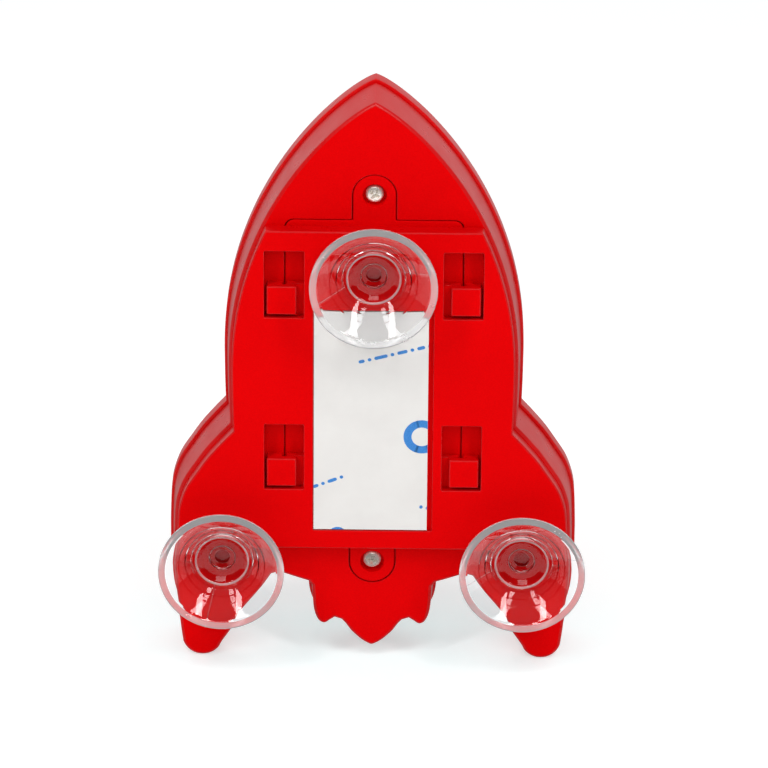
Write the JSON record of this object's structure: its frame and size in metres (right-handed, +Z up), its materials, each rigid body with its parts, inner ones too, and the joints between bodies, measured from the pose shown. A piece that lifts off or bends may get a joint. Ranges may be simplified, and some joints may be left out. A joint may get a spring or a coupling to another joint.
{
  "type": "toy rocket wall lamp",
  "caption": "Rocket-shaped push lamp with a screwed battery door and a slide-off wall bracket held by suction cups and foam tape.",
  "frame": {"origin": "on the standing surface, under the middle of the object's box", "axes": "+Z up to the nose, +Y towards the wall side with the suction cups, +X to the right seen from the lens side"},
  "size_m": [0.1386, 0.048, 0.1973],
  "materials": {
    "red_plastic": "semi-gloss moulded ABS with a fine grain",
    "screw_steel": "nickel plated",
    "foam_tape": "closed-cell foam",
    "release_liner": null,
    "clear_pvc": "clear soft PVC",
    "cell_jacket": "printed film over a cell can",
    "contact_steel": "nickel plated spring steel",
    "board_green": "solder mask",
    "led_resin": "clear resin",
    "black_plastic": "moulded",
    "white_plastic": "moulded",
    "lens_milky": "milky translucent",
    "bezel_silver": "silver-coloured plastic, satin",
    "wire_red": "wire insulation",
    "wire_black": "wire insulation"
  },
  "bodies": {
    "rocket": {"rear_casing": "red_plastic", "front_casing": "red_plastic", "battery_door": "red_plastic", "door_screws": "screw_steel", "casing_screws": "screw_steel", "board_screws": "screw_steel", "battery_1": "cell_jacket", "battery_2": "cell_jacket", "battery_3": "cell_jacket", "battery_4": "cell_jacket", "negative_springs": "contact_steel", "positive_contacts": "contact_steel", "return_spring": "contact_steel", "circuit_board": "board_green", "leds": "led_resin", "switch_body": "black_plastic", "reflector": "white_plastic", "lens_bezel": "bezel_silver", "red_wire": "wire_red", "black_wire": "wire_black"},
    "bracket": {"wall_bracket": "red_plastic", "tape_foam": "foam_tape", "tape_liner": "release_liner"},
    "cup_top": {"suction_cup_top": "clear_pvc"},
    "cup_left": {"suction_cup_left": "clear_pvc"},
    "cup_right": {"suction_cup_right": "clear_pvc"},
    "push_lens": {"push_lens": "lens_milky"},
    "switch_plunger": {"switch_plunger": "white_plastic"}
  },
  "joints": [
    {"name": "bracket_slide", "type": "slide", "parent": "rocket", "child": "bracket", "axis": [0, 0, -1], "range_m": [0, 0.0115]},
    {"name": "cup_top_spin", "type": "hinge", "parent": "bracket", "child": "cup_top", "pos_m": [0, 0.011, 0.1388], "axis": [0, 1, 0], "continuous": true},
    {"name": "cup_left_spin", "type": "hinge", "parent": "bracket", "child": "cup_left", "pos_m": [-0.0488, 0.011, 0.0386], "axis": [0, 1, 0], "continuous": true},
    {"name": "cup_right_spin", "type": "hinge", "parent": "bracket", "child": "cup_right", "pos_m": [0.0488, 0.011, 0.0386], "axis": [0, 1, 0], "continuous": true},
    {"name": "lens_press", "type": "slide", "parent": "rocket", "child": "push_lens", "axis": [0, 1, 0], "range_m": [0, 0.0015], "stiffness_N_per_m": 400, "springref_m": -0.003, "deforming": ["return_spring"]},
    {"name": "plunger_press", "type": "slide", "parent": "rocket", "child": "switch_plunger", "axis": [0, 1, 0], "range_m": [0, 0.0015]}
  ],
  "couplings": [
    {"joint": "plunger_press", "follows": "lens_press", "ratio": 1}
  ]
}
